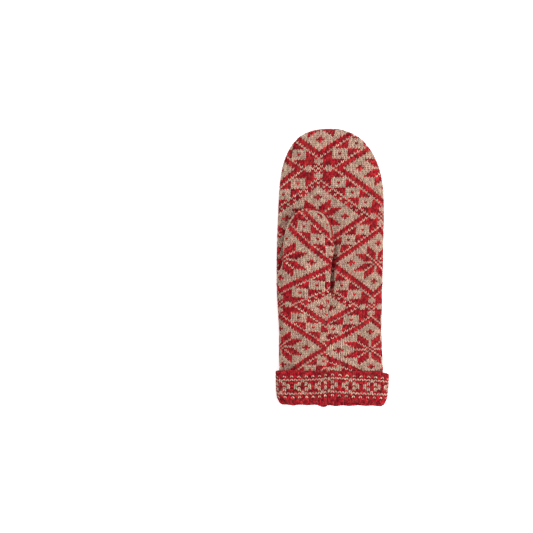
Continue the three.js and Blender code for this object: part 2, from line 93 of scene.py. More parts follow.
# The shallow dent that the thumb presses into the palm
PRESS = {
    "depth": 3.4, "left_xs": (-58, -44), "right_xs": (12, -6), "low_ys": (-64, -26), "high_ys": (70, 46),
}

# Where the hand's underside rises to lie on the wall of the cuff
CUFF_STEP_YS = (-80, -93)

# Where the sides of the front panel rise off the palm, where its right widens, and where its face arches
THUMB_LEAVES = {"left_ys": (-18, 6), "right_ys": (-46, 0), "below_crotch": 6, "arch_ys": (-92, -14)}

# Where the cuff starts to turn the rows of the hand with it, and where they follow it in full
SLOPE_YS = (-98, -118)

# Where the seam of the palm runs and where it ends, below the crotch of the thumb
SEAM_LINE = {"y": (-121, -94, -74, -64, -48, -36.5, -23.6), "x": (-4.6, -5.4, -5.5, -4.8, -4.6, -3.6, -2.1)}
SEAM_END_YS = (-19, -25)

# How the seam pulls the knit in, how the knit dips once past it, and how wide the palm rises to meet it
SEAM = {"pull": 0.2, "width": 1.4, "dip_slope": 0.9, "dip": 2.5, "step_width": 7}

# How gently the front panel rises beside the seam until the thumb leaves the palm
SHOULDER = {"power": 3, "from": -48, "to": -22}

# The slit in the palm beside the root of the thumb
SLIT = {"depth": 4.5, "beside": 0.7, "width": 1.9, "low_ys": (-28, -22), "high_ys": (34, 6)}

# At the hem of the cuff the hand lies back on the left and is snug on the right. Its edges stay in place
HEM = {
    "ys": (-87, -92), "edge_xs": (49, 44),
    "dip": 4.0, "dip_xs": (-30, -38), "lift": 2.4, "lift_xs": (20, 34),
}

# Stitches from a star of the chart to the next crossing
PERIOD = 24

# How far a stitch at the side of a face may turn towards the other face, and how near the tip a face is read
EDGE_TURN = 0.8
TIP_GAP = 0.05

# The least length that is divided by
TINY = 1e-6

# How deep the cloth behind the stitches lies below their crests
BACKING = 1.15

# Marks of the chart on the palm: column, row, and the photograph's pixel where that stitch lies
PALM_MARKS = np.array([
    (0, 38, 319.8, 139.8), (-7, 31, 298.1, 155.6), (7, 31, 340.3, 153.8), (12, 36, 355.6, 144.4),
    (0, 28, 318.8, 161.3), (0, 20, 317.9, 175.9), (-4, 24, 307.8, 169.0), (4, 24, 329.4, 168.4),
    (14, 24, 359.8, 168.5), (-7, 17, 298.1, 184.4), (7, 17, 338.5, 182.9), (-12, 12, 283.1, 195.6),
    (12, 12, 352.3, 192.9), (17, 7, 365.0, 203.1), (0, 10, 316.5, 197.3), (-10, 0, 286.3, 218.5),
    (10, 0, 344.0, 216.6), (17, -7, 362.5, 231.3), (12, -12, 348.5, 240.3), (24, -14, 378.1, 242.5),
    (14, -24, 351.0, 262.5), (20, 0, 371.9, 216.3), (24, -4, 380.0, 223.1), (24, -34, 374.1, 282.1),
    (12, -36, 342.1, 285.3), (17, -41, 353.1, 295.6), (24, -44, 372.5, 300.4), (20, -48, 360.6, 307.5),
    (28, -48, 379.4, 306.3), (24, -52, 371.0, 314.0), (10, -48, 330.0, 307.1), (17, -55, 350.0, 320.3),
    (12, -60, 333.1, 329.0), (24, -62, 370.6, 331.3), (14, -72, 338.5, 350.6), (24, -72, 370.0, 348.1),
    (24, -82, 370.6, 366.3),
])

# The same for the lower left palm and the front of the thumb
FRONT_MARKS = np.array([
    (7, 17, 303.5, 226.9), (12, 12, 318.1, 239.8), (10, 0, 311.0, 262.8), (17, 7, 332.0, 251.3),
    (12, -12, 316.5, 285.3), (7, -17, 301.3, 293.8), (4, -24, 288.8, 303.8), (14, -24, 321.6, 307.1),
    (7, -31, 298.8, 317.1), (12, -36, 313.4, 327.3), (17, -41, 327.5, 337.5), (10, -48, 304.4, 347.5),
    (17, -55, 324.0, 360.0), (12, -60, 309.4, 369.6), (0, -48, 280.6, 346.3), (0, -10, 279.4, 277.5),
])


def mix(a, b, share):
    return a + (b - a) * share


def ramp(start, end, value):
    """Rises smoothly from 0 at start to 1 at end, in either direction."""
    share = np.clip((value - start) / (end - start), 0, 1)
    return share * share * (3 - 2 * share)


def column(table, name, y):
    """Reads one column of a table at y, along a smooth curve through its rows."""
    rows = np.asarray(table["y"], float)
    values = np.asarray(table[name], float)
    wide_rows = np.pad(rows, 1, "edge")
    wide_values = np.pad(values, 1, "edge")
    slopes = (wide_values[2:] - wide_values[:-2]) / (wide_rows[2:] - wide_rows[:-2])
    row = np.clip(np.searchsorted(rows, y) - 1, 0, len(rows) - 2)
    span = rows[row + 1] - rows[row]
    share = np.clip((y - rows[row]) / span, 0, 1)
    square = share * share
    cube = square * share
    start = (2 * cube - 3 * square + 1) * values[row] + (cube - 2 * square + share) * span * slopes[row]
    end = (3 * square - 2 * cube) * values[row + 1] + (cube - square) * span * slopes[row + 1]
    return start + end


def rounded_end(y, tip, part):
    """Falls from 1 to 0 along a rounded end, by the part's start and how round it is."""
    start, power = tip[part]
    share = np.clip((y - start) / (tip["y"] - start), 0, 1)
    return (1 - share**power) ** (1 / power)


def outline(table, tip, y):
    return [mix(tip["x"], column(table, side, y), rounded_end(y, tip, side)) for side in ("left", "right")]


def fullness(angle):
    return np.maximum(np.sin(angle), 0) ** EDGE_POWER


def angle_at(left, right, x):
    share = np.clip((x - left) / np.maximum(right - left, TINY), 0, 1)
    return np.arccos(1 - 2 * share)


def hand_size(y):
    """The hand's sides at y, the heights of its floor, its edges and its top, and how full it is."""
    left, right = outline(HAND, HAND_TIP, y)
    floor = (WALL + PLAY) * ramp(*CUFF_STEP_YS, y)
    thick = column(HAND, "thick", y)
    fade = rounded_end(y, HAND_TIP, "fade")
    edge = floor + thick * SEAM_SHARE
    return SimpleNamespace(left=left, right=right, floor=floor, edge=edge, top=floor + thick, fade=fade)


def press(x, y):
    sideways = ramp(*PRESS["left_xs"], x) * ramp(*PRESS["right_xs"], x)
    lengthways = ramp(*PRESS["low_ys"], y) * ramp(*PRESS["high_ys"], y)
    return PRESS["depth"] * sideways * lengthways


def plate_dent(x, y):
    along_x = np.abs(x - PLATE["x"]) - PLATE_DENT["half_length"]
    along_y = np.abs(y - PLATE["y"]) - PLATE_DENT["half_width"]
    slope = PLATE_DENT["slope"]
    return PLATE_DENT["depth"] * ramp(slope, 0, along_x) * ramp(slope, 0, along_y)


def palm_height(x, y, inset):
    hand = hand_size(y)
    full = fullness(angle_at(hand.left, hand.right, x))
    return hand.edge + (hand.top - press(x, y) - inset - hand.edge) * full * hand.fade


def sloped_y(x, y):
    return y + x * CUFF_SLOPE * ramp(*SLOPE_YS, y)


def inward(x, y, depth):
    share = depth / WALL
    in_x = mix(HAND_TIP["x"], x, 1 - share * SIDE_WALL / HALF_HAND)
    in_y = np.where(y > 0, y * (1 - share * SIDE_WALL / HAND_TIP["y"]), y)
    return in_x, in_y


def section(size, y, angle):
    """The section of the hand or of the front panel at y, and x at an angle from its left side."""
    y, angle = np.broadcast_arrays(np.asarray(y, float), angle)
    part = size(y)
    return part, y, angle, mix(part.left, part.right, (1 - np.cos(angle)) / 2)


def palm_point(y, angle, depth=0.0):
    hand, y, angle, x = section(hand_size, y, angle)
    rise = (hand.top - depth - press(x, y) - hand.edge) * fullness(angle) * hand.fade
    in_x, in_y = inward(x, y, depth)
    return np.stack([in_x, sloped_y(x, in_y), hand.edge + np.maximum(rise, 0)], -1)


def back_point(y, angle, depth=0.0):
    hand, y, angle, x = section(hand_size, y, angle)
    share = np.minimum(1, FLAT_SHARE * fullness(angle) * hand.fade)
    drop = (hand.edge - hand.floor - depth) * share - plate_dent(x, y)
    in_x, in_y = inward(x, y, depth)
    return np.stack([in_x, sloped_y(x, in_y), hand.edge - np.maximum(drop, 0)], -1)


def front_size(y):
    """The same for the front panel, with the heights of both its edges and how far it has left the palm."""
    hand = hand_size(y)
    thumb_left, thumb_right = outline(THUMB, THUMB_TIP, y)
    bed = palm_height((thumb_left + thumb_right) / 2, y, 0) + LAYER_GAP
    thumb_edge = bed + THUMB_THICK * SEAM_SHARE
    leave_left = ramp(*THUMB_LEAVES["left_ys"], y)
    leave = ramp(*THUMB_LEAVES["right_ys"], y)
    at_crotch = ramp(CROTCH[1] - THUMB_LEAVES["below_crotch"], CROTCH[1], y)
    return SimpleNamespace(
        left=mix(hand.left, thumb_left, leave_left),
        right=mix(PALM_SEAM_X - FRONT_RIM_LIFT, thumb_right, at_crotch),
        left_z=mix(hand.edge, thumb_edge, leave_left) + FRONT_RIM_LIFT,
        right_z=mix(palm_height(PALM_SEAM_X, y, 0), thumb_edge + FRONT_RIM_LIFT, leave),
        top=bed + THUMB_THICK,
        fade=rounded_end(y, THUMB_TIP, "fade"),
        leave=leave,
    )


def thumb_y(y, side):
    """Draws the thumb's tip in by as much as its side."""
    return np.where(y > 0, y * (1 - side / THUMB_TIP["y"]), y)


def front_point(y, angle, depth=0.0):
    front, y, angle, x = section(front_size, y, angle)
    share = (1 - np.cos(angle)) / 2
    edge_z = mix(front.left_z, front.right_z, share)
    flat_z = palm_height(x, y, depth) + press(x, y) * (1 - front.leave)
    gentle = np.maximum(np.sin(angle), 0) ** SHOULDER["power"]
    steep = np.where(angle > np.pi / 2, ramp(SHOULDER["from"], SHOULDER["to"], y), 1)
    arch_z = edge_z + (front.top - depth - edge_z) * mix(gentle, fullness(angle), steep) * front.fade
    z = mix(flat_z, arch_z, ramp(*THUMB_LEAVES["arch_ys"], y))
    side = SIDE_WALL * depth / WALL
    in_x = x + mix(side, -side * front.leave, share)
    return np.stack([in_x, sloped_y(x, thumb_y(y, side)), z], -1)


def thumb_back_point(y, angle, depth=0.0):
    front, y, angle, x = section(front_size, y, angle)
    share = (1 - np.cos(angle)) / 2
    bed_z = palm_height(x, y, 0) + LAYER_GAP
    rim_z = np.maximum(mix(front.left_z, front.right_z, share) - LAYER_GAP, bed_z)
    flat = np.minimum(1, FLAT_SHARE * fullness(angle) * front.fade)
    side = SIDE_WALL * depth / WALL
    in_x = np.clip(x + mix(side, -side, share), front.left, front.right)
    return np.stack([in_x, thumb_y(y, side), mix(rim_z, bed_z + depth, flat)], -1)


def thumb_line(x):
    """The line on the palm where the thumb opens into the hand."""
    slope = (THUMB_HEEL[1] - CROTCH[1]) / (THUMB_HEEL[0] - CROTCH[0])
    return CROTCH[1] + slope * (x - CROTCH[0])


def seam_x(y):
    return np.interp(y, SEAM_LINE["y"], SEAM_LINE["x"])


def seam_share(y):
    """1 where the front panel is sewn to the palm, 0 above the crotch of the thumb."""
    return ramp(*SEAM_END_YS, y)


def lengths_along(points):
    """The distance along a line of points, at each of them."""
    return np.concatenate([[0], np.cumsum(np.linalg.norm(np.diff(points, axis=0), axis=1))])


def bell(x, centre, width):
    return np.exp(-(((x - centre) / width) ** 2))


def seam_relief(x, y, past):
    """How far the knit is pulled in beside the seam of the palm, and how far it dips once past it."""
    pull = SEAM["pull"] * bell(x, seam_x(y), SEAM["width"])
    dip = np.minimum(SEAM["dip_slope"] * np.maximum(past, 0), SEAM["dip"])
    return (pull + dip) * seam_share(y)


def hem_relief(x, y):
    dip = HEM["dip"] * ramp(*HEM["dip_xs"], x) - HEM["lift"] * ramp(*HEM["lift_xs"], x)
    return dip * ramp(*HEM["ys"], y) * ramp(*HEM["edge_xs"], np.abs(x))


def palm_relief(x, y):
    """How far the palm's knit lies below its face. Beside the seam it is raised to the front panel."""
    front = front_size(y)
    step = np.maximum(front.right_z - palm_height(PALM_SEAM_X, y, 0), 0) * seam_share(y)
    rise = step * bell(x, PALM_SEAM_X, SEAM["step_width"])
    slit = SLIT["depth"] * bell(x, front.right + SLIT["beside"], SLIT["width"])
    slit = slit * ramp(*SLIT["low_ys"], y) * ramp(*SLIT["high_ys"], y)
    return seam_relief(x, y, seam_x(y) - x) + slit - rise + hem_relief(x, y)


def front_relief(x, y):
    return seam_relief(x, y, x - seam_x(y)) + hem_relief(x, y)


def bilinear(grid, u, v):
    """Reads a grid at row v and column u, both in grid steps."""
    u = np.clip(u, 0, grid.shape[1] - 1.001)
    v = np.clip(v, 0, grid.shape[0] - 1.001)
    left, low = u.astype(int), v.astype(int)
    fu, fv = u - left, v - low
    if grid.ndim == 3:
        fu, fv = fu[..., None], fv[..., None]
    first, second = [mix(grid[row, left], grid[row, left + 1], fu) for row in (low, low + 1)]
    return mix(first, second, fv)


class Unrolled:
    """A panel's outer face, read by the distance across it and the distance along it."""

    ROWS = 340
    ANGLES = 481
    REACH = 70
    RUNS = 561

    def __init__(self, surface, y_low, tip, centre_x, rise, flat_high=None):
        self.surface = surface
        self.rise = rise
        self.flat_high = flat_high
        self.ys = np.linspace(y_low, tip["y"] - TIP_GAP, self.ROWS)
        angles = np.linspace(0, np.pi, self.ANGLES)
        points = surface(self.ys[:, None], angles[None, :])
        steps = np.linalg.norm(np.diff(points, axis=1), axis=2)
        lengths = np.concatenate([np.zeros((len(self.ys), 1)), np.cumsum(steps, axis=1)], axis=1)
        zeros = np.array([np.interp(centre_x, p[:, 0], run) for p, run in zip(points, lengths)])
        self.runs = lengths - zeros[:, None]
        self.points = points
        self.grid = np.linspace(-self.REACH, self.REACH, self.RUNS)
        self.inverse = np.array([np.interp(self.grid, run, angles) for run in self.runs])
        middle = surface(self.ys, np.full(len(self.ys), np.pi / 2))
        along = lengths_along(middle[:, 1:])
        self.along = along - np.interp(0, self.ys, along)

    def run_at(self, x, y):
        """The distances across and along to the point of the face that is seen at x and y from above."""
        row = np.argmin(np.abs(self.ys - y))
        return np.interp(x, self.points[row, :, 0], self.runs[row]), np.interp(y, self.ys, self.along)

    def at(self, run, along):
        """The face's point there, and how far inside the face's edges it lies.

        Past the side the face turns a little towards the other face.
        """
        y = np.interp(along, self.along, self.ys)
        v = np.interp(y, self.ys, np.arange(len(self.ys)))
        u = np.interp(run, self.grid, np.arange(len(self.grid)))
        angle = bilinear(self.inverse, u, v)
        low = np.interp(y, self.ys, self.runs[:, 0])
        high = np.interp(y, self.ys, self.runs[:, -1])
        past = np.maximum(np.maximum(run - high, low - run), 0)
        past_tip = np.maximum(along - self.along[-1], 0)
        point = self.surface(y, angle)
        flat = self.flat_high(y) * (run > high) if self.flat_high else 0.0
        point[..., 0] += flat * past
        past = past * (1 - flat)
        point[..., 2] -= self.rise * EDGE_TURN * np.tanh((past + past_tip) / EDGE_TURN)
        return point, -np.maximum(past, past_tip)


def terms(*counts):
    """Powers of the column and the row. Each power of the column has a count of those of the row."""
    return [(i, j) for i, count in enumerate(counts) for j in range(count)]


# The terms in the rules across and along each face
PALM_TERMS = (terms(5, 5, 2), terms(3, 2, 1))
FRONT_TERMS = (terms(4, 3, 1), terms(4, 2))
CHART_HALF = (20, 40)


def powers(c, r, pairs):
    return np.stack([(c / CHART_HALF[0]) ** i * (r / CHART_HALF[1]) ** j for i, j in pairs], -1)


class Net:
    """Where the stitches of one face lie, by their column and row in the chart."""

    STEP = 0.5
    MARGIN = 2

    def __init__(self, columns, rows, place, facing):
        self.first = (columns[0] - self.MARGIN, rows[0] - self.MARGIN)
        c = np.arange(self.first[0], columns[1] + self.MARGIN + self.STEP, self.STEP)
        r = np.arange(self.first[1], rows[1] + self.MARGIN + self.STEP, self.STEP)
        self.points, self.spare = place(*np.meshgrid(c, r))
        sideways = np.gradient(self.points, axis=1)
        lengthways = np.gradient(self.points, axis=0)
        normals = np.cross(sideways, lengthways) * facing
        length = np.linalg.norm(normals, axis=2, keepdims=True)
        self.normals = np.where(length > TINY, normals / np.maximum(length, TINY), (0, 0, facing))

    def steps(self, c, r):
        return (c - self.first[0]) / self.STEP, (r - self.first[1]) / self.STEP

    def at(self, c, r):
        u, v = self.steps(c, r)
        return bilinear(self.points, u, v), bilinear(self.normals, u, v)

    def spare_at(self, c, r):
        """How far inside the face's edges a stitch lies. Below zero it is past them."""
        return bilinear(self.spare, *self.steps(c, r))


def fitted_place(face, marks, both_terms, relief):
    """Columns and rows laid out by smooth rules that are fitted to the marks, sunk by the relief."""
    x = (marks[:, 2] - ORIGIN_PIXEL[0]) * PIXEL
    y = (ORIGIN_PIXEL[1] - marks[:, 3]) * PIXEL
    runs = np.array([face.run_at(px, py) for px, py in zip(x, y)])
    rules = []
    for values, pairs in zip(runs.T, both_terms):
        sides = powers(marks[:, 0], marks[:, 1], pairs)
        rules.append((pairs, np.linalg.lstsq(sides, values, rcond=None)[0]))

    def place(c, r):
        run, along = [powers(c, r, pairs) @ weights for pairs, weights in rules]
        point, spare = face.at(run, along)
        point[..., 2] -= relief(point[..., 0], point[..., 1])
        return point, spare

    return place


def plain_place(face, stitch, row, centre, drift):
    """Columns and rows laid out evenly from a centre, drifting sideways along the hand."""

    def place(c, r):
        along = centre[1] + row * r
        run = centre[0] + drift * (along - centre[1]) + stitch * c
        return face.at(run, along)

    return place


def from_lattice(c, r, odd):
    """Signed columns and rows from the nearest star, or with odd the nearest crossing, and its own row."""
    c = c - PERIOD * odd
    up = np.rint((c + r) / (2 * PERIOD))
    down = np.rint((c - r) / (2 * PERIOD))
    return c - PERIOD * (up + down), r - PERIOD * (up - down), up - down


# Distances from the middle of a star, in stitches
PETAL = 4
CROSS_AT = 10
LOZENGE = 15
SPECKLES_AT = 17
LINE_AT = 19
SQUARES_AT = ((7, 17), (12, 12), (17, 7))
SQUARE_HALF = 2


def petals(a, b):
    return (a >= 1) & (a <= PETAL) & (b - a >= 1) & (b - a <= PETAL)


def star_is_beige(dc, dr, row):
    """The lozenge round an eight-petal star, its frame of lines and the small squares between the frames.

    In every other row of stars, the upper sides of the frame are speckled.
    """
    a = np.abs(dc)
    b = np.abs(dr)
    distance = a + b
    crosses = (a + np.abs(b - CROSS_AT) <= 1) | (np.abs(a - CROSS_AT) + b <= 1)
    inside = (distance <= LOZENGE) & ~(petals(a, b) | petals(b, a) | (distance == 1) | crosses)
    speckles = (distance == SPECKLES_AT) & (dr > 0) & (dc % 2 == 0) & (row % 2 == 0)
    squares = np.zeros(dc.shape, bool)
    for square_a, square_b in SQUARES_AT:
        off_a = np.abs(a - square_a)
        off_b = np.abs(b - square_b)
        squares |= (np.maximum(off_a, off_b) <= SQUARE_HALF) & (off_a + off_b > 0)
    return inside | speckles | (distance == LINE_AT) | squares


def crossing_is_beige(dc, dr):
    """A small checked cross with a block on each of its four sides."""
    a = np.abs(dc)
    b = np.abs(dr)
    far = np.maximum(a, b)
    return (a + b == 0) | (a + b == 2) | ((far >= 3) & (far <= 4) & (np.minimum(a, b) <= 1))


def body_is_beige(c, r):
    """The chart of the hand: stars and crossings by turns."""
    return star_is_beige(*from_lattice(c, r, 0)) | crossing_is_beige(*from_lattice(c, r, 1)[:2])


def front_is_beige(c, r):
    """The same chart, where the thumb's star is one of those with plain frames."""
    return body_is_beige(c + PERIOD, r + PERIOD)


def cuff_is_beige(c, r):
    """The chart of the cuff: a row of small rings between two lines and two rows of single stitches."""
    k = np.abs((c + 3) % 6 - 3)
    b = np.abs(r)
    ring = ((k == 2) & (b <= 1)) | ((k == 1) & (b >= 1) & (b <= 2)) | ((k == 0) & (b == 3))
    return ring | (b == 4) | ((b == 6) & (c % 2 == 1))


# One stitch: two legs of yarn that lean out from its point and swell between their ends. foot, reach, start
# and rise are in stitches, half_width and thick in millimetres
LEG_STEPS = 4
LEG_FACETS = 4
LEG_POINTS = LEG_STEPS * (LEG_FACETS + 1)
LEG = {"foot": 0.1, "reach": 0.32, "start": -0.5, "rise": 1.45, "half_width": 0.49, "thick": 0.5}
LEG_SWELL = {"start": 0.15, "over": 0.72, "end_width": 0.4, "height": 0.94}

# How much the stitches differ
SPREAD = {"column": 0.035, "row": 0.05, "fat": 0.06, "lift": 0.05, "lean": 0.08, "tone": 0.06}

# How much of the yarn's twist lies between one stitch and any other
TWIST = 7

# A stitch's usual width, and how far its yarn swells or thins with it
USUAL_PITCH = 2.67
STRETCH_LIMITS = (0.8, 1.3)

# How far a leg's centre sinks along its length, from its point to where it passes under the next stitch
LEG_SINK = ((0, 0.3, 0.62, 1), (0.3, 0.0, 0.12, 0.85))


def build_mesh(name, vertices, faces, materials, face_material=None, uv=None, values=None):
    mesh = bpy.data.meshes.new(name)
    mesh.from_pydata(vertices / 1000, [], faces)
    mesh.shade_smooth()
    if face_material is not None:
        mesh.polygons.foreach_set("material_index", face_material)
    if uv is not None:
        layer = mesh.uv_layers.new(name="yarn")
        layer.data.foreach_set("uv", uv[faces.ravel()].astype(np.float32).ravel())
    for value_name, numbers in (values or {}).items():
        attribute = mesh.attributes.new(value_name, "FLOAT", "POINT")
        attribute.data.foreach_set("value", numbers.astype(np.float32))
    for material in materials:
        mesh.materials.append(material)
    mesh.update()
    mesh.validate()
    piece = bpy.data.objects.new(name, mesh)
    bpy.context.scene.collection.objects.link(piece)
    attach(piece, "root")
    return piece


def stitch_mesh(name, net, c, r, apex, material, fat, lift, painted_highlight):
    """All stitches of one colour on one face. apex is +1 where their points face the cuff, -1 where the tip.

    fat scales a stitch's yarn, lift raises it in millimetres and the last argument lightens it as a painted
    highlight.
    """
    size = (len(c), 1)
    c, r, fat, lift = [np.reshape(value, size) for value in (c, r, fat, lift)]
    t = np.linspace(0, 1, LEG_STEPS)
    swell = np.sin(np.pi * (LEG_SWELL["start"] + LEG_SWELL["over"] * t))
    sink = np.interp(t, *LEG_SINK)
    phi = np.linspace(0, np.pi, LEG_FACETS + 1)
    stitch_c = c + RNG.normal(0, SPREAD["column"], size)
    stitch_r = r + RNG.normal(0, SPREAD["row"], size)
    pitch = np.linalg.norm(net.at(c + 0.5, r)[0] - net.at(c - 0.5, r)[0], axis=-1)
    fat = (fat + RNG.normal(0, SPREAD["fat"], size)) * np.clip(pitch / USUAL_PITCH, *STRETCH_LIMITS)
    lift = lift + RNG.normal(0, SPREAD["lift"], size)
    stitch_tone = RNG.random(size)
    half = (LEG["half_width"] * fat * mix(LEG_SWELL["end_width"], 1, swell))[..., None]
    sideways = (half * np.cos(phi))[..., None]
    base = (-LEG["thick"] - sink + lift)[..., None]
    upwards = (base + half * LEG_SWELL["height"] * np.sin(phi))[..., None]
    vertices = []
    tones = []
    for side in (-1, 1):
        lean = 1 + RNG.normal(0, SPREAD["lean"], size)
        leg_c = stitch_c + side * (LEG["foot"] + LEG["reach"] * lean * t)
        leg_r = stitch_r + apex * (LEG["start"] + LEG["rise"] * t)
        points, normals = net.at(leg_c, leg_r)
        tangents = np.gradient(points, axis=1)
        tangents /= np.maximum(np.linalg.norm(tangents, axis=2, keepdims=True), TINY)
        sides = np.cross(normals, tangents)
        ring = points[:, :, None] + sides[:, :, None] * sideways + normals[:, :, None] * upwards
        vertices.append(ring.reshape(-1, 3))
        leg_tone = np.clip(stitch_tone + RNG.uniform(-SPREAD["tone"], SPREAD["tone"], size), 0, 1)
        tones.append(np.repeat(leg_tone, LEG_POINTS))
    uv = np.stack(np.broadcast_arrays((t + stitch_tone * TWIST)[..., None], phi / np.pi), -1)
    row, step = np.meshgrid(np.arange(LEG_STEPS - 1), np.arange(LEG_FACETS), indexing="ij")
    width = LEG_FACETS + 1
    corner = (row * width + step).ravel()
    one = np.stack([corner, corner + 1, corner + width + 1, corner + width], -1)[:, ::-apex]
    legs = np.arange(2 * len(c)) * LEG_POINTS
    faces = (legs[:, None, None] + one).reshape(-1, 4)
    values = {"tone": np.concatenate(tones), "painted_highlight": np.tile(np.repeat(painted_highlight, LEG_POINTS), 2)}
    uv = np.tile(uv.reshape(-1, 2), (2, 1))
    return build_mesh(name, np.concatenate(vertices), faces, [material], uv=uv, values=values)


# Materials

def connect(tree, made, inputs):
    """Sets a node's inputs, each to a value or to another node's output."""
    for key, value in inputs.items():
        if isinstance(value, bpy.types.NodeSocket):
            tree.links.new(value, made.inputs[key])
        else:
            made.inputs[key].default_value = value


def new_material(name, inputs):
    """A material, its node tree and its shader with these inputs."""
    material = bpy.data.materials.new(name)
    material.use_nodes = True
    tree = material.node_tree
    shader = tree.nodes["Principled BSDF"]
    connect(tree, shader, inputs)
    return material, tree, shader


def node(tree, kind, inputs, **settings):
    made = tree.nodes.new("ShaderNode" + kind)
    for key, value in settings.items():
        setattr(made, key, value)
    connect(tree, made, inputs)
    return made.outputs


def maths(tree, operation, *values):
    return node(tree, "Math", dict(enumerate(values)), operation=operation)[0]


def noise(tree, vector, scale, detail):
    return node(tree, "TexNoise", {"Vector": vector, "Scale": scale, "Detail": detail})["Fac"]


def stretched(tree, vector, scale):
    return node(tree, "Mapping", {"Vector": vector, "Scale": scale})[0]


def between(tree, value, low, high, to_low, to_high):
    """Maps low to to_low and high to to_high, and holds the ends."""
    limits = {"From Min": low, "From Max": high, "To Min": to_low, "To Max": to_high}
    return node(tree, "MapRange", {"Value": value, **limits})[0]


def blend(tree, share, first, second):
    return node(tree, "Mix", {0: share, 6: (*first, 1), 7: (*second, 1)}, data_type="RGBA")[2]


def bump(tree, height, strength, distance):
    return node(tree, "Bump", {"Height": height, "Strength": strength, "Distance": distance})[0]


def wool(name, warm, cool, uneven, gloss):
    """Heathered wool, each stitch with its own tone between a warm and a cool one.

    It has lighter and darker fibres, twisted plies as bump, and painted shade and highlights on each strand.
    """
    sheen = {"Sheen Weight": gloss / 2, "Sheen Roughness": 0.5}
    material, tree, shader = new_material(name, {"Roughness": 0.9, "Specular IOR Level": gloss, **sheen})
    coordinates = node(tree, "TexCoord", {})
    tone = node(tree, "Attribute", {}, attribute_name="tone")["Fac"]
    # A painted highlight that lightens lone stitches
    painted_highlight = node(tree, "Attribute", {}, attribute_name="painted_highlight")["Fac"]
    patches = noise(tree, coordinates["Object"], scale=260, detail=1)
    patches = between(tree, patches, 0.35, 0.65, -0.15, 0.15)
    tinted = blend(tree, maths(tree, "ADD", patches, tone), warm, cool)
    own = maths(tree, "FRACT", maths(tree, "MULTIPLY", tone, 7.3))
    own = maths(tree, "ADD", between(tree, own, 0, 1, 1 - uneven, 1 + uneven), painted_highlight)
    fibres = noise(tree, coordinates["Object"], scale=1700, detail=3)
    grain = between(tree, fibres, 0.3, 0.7, 0.35, 1.65)
    # Painted shade on the sides of each strand and a painted highlight along its crest, by the distance
    # around the yarn
    around = node(tree, "SeparateXYZ", {0: coordinates["UV"]})[1]
    painted_side_shade_and_crest_highlight = maths(tree, "SINE", maths(tree, "MULTIPLY", around, math.pi))
    painted_side_shade_and_crest_highlight = between(tree, painted_side_shade_and_crest_highlight, 0.3, 0.97, 0.28, 1.18)
    value = maths(tree, "MULTIPLY", maths(tree, "MULTIPLY", own, grain), painted_side_shade_and_crest_highlight)
    shaded = node(tree, "VectorMath", {0: tinted, "Scale": value}, operation="SCALE")[0]
    twist = {"Vector": coordinates["UV"], "Scale": 0.9, "Distortion": 0.6}
    plies = node(tree, "TexWave", twist, bands_direction="DIAGONAL")["Fac"]
    height = maths(tree, "MULTIPLY_ADD", fibres, 0.9, plies)
    normal = bump(tree, height, strength=0.6, distance=0.0003)
    connect(tree, shader, {"Base Color": shaded, "Normal": normal})
    return material


def reverse_knit(name, red, beige):
    """The back of the knit: short floats of both yarns, lying across the hand."""
    material, tree, shader = new_material(name, {"Roughness": 0.95, "Specular IOR Level": 0.12})
    place = stretched(tree, node(tree, "TexCoord", {})["Object"], (260, 900, 500))
    floats = noise(tree, place, scale=1, detail=2)
    colour = blend(tree, between(tree, floats, 0.47, 0.55, 0, 1), red, beige)
    normal = bump(tree, floats, strength=0.8, distance=0.0006)
    connect(tree, shader, {"Base Color": colour, "Normal": normal})
    return material


def satin_metal(name):
    """Brushed steel: fine lines along the plate."""
    material, tree, shader = new_material(name, {"Metallic": 1.0, "Specular IOR Level": 0.5})
    place = stretched(tree, node(tree, "TexCoord", {})["Object"], (60, 9000, 3000))
    lines = noise(tree, place, scale=1, detail=2)
    colour = blend(tree, lines, (0.62, 0.62, 0.62), (0.84, 0.84, 0.83))
    connect(tree, shader, {"Base Color": colour, "Roughness": between(tree, lines, 0, 1, 0.28, 0.42)})
    return material


RED_WOOL = wool("red_wool", warm=(0.385, 0.022, 0.024), cool=(0.27, 0.002, 0.012), uneven=0.62, gloss=0.08)
BEIGE_WOOL = wool("beige_wool", warm=(0.6, 0.335, 0.27), cool=(0.48, 0.385, 0.265), uneven=0.3, gloss=0.15)
# The wall seen between the stitches: the same floats darkened to about a quarter, as painted shade
PAINTED_SHADE_BACKING_WOOL = reverse_knit("backing_wool_in_painted_shade", red=(0.09, 0.006, 0.008), beige=(0.16, 0.06, 0.045))
REVERSE_WOOL = reverse_knit("reverse_wool", red=(0.3, 0.014, 0.03), beige=(0.48, 0.36, 0.27))
STEEL = satin_metal("satin_steel")

# Each colour's usual yarn, and what changes where a stitch stands alone in the other colour
YARNS = {
    "red": {"wool": RED_WOOL, "fat": 1.14, "lone_fat": 0.24, "lone_lift": 0.2},
    "beige": {"wool": BEIGE_WOOL, "fat": 0.85, "lone_fat": -0.18, "lone_lift": -0.06},
}
# How much painted highlight a lone beige stitch gets, at random between these shares of its brightness
LONE_PAINTED_HIGHLIGHT = (0.1, 0.75)

# How far past the edge of a face its last stitches may lie
MOST_PAST = 1.0


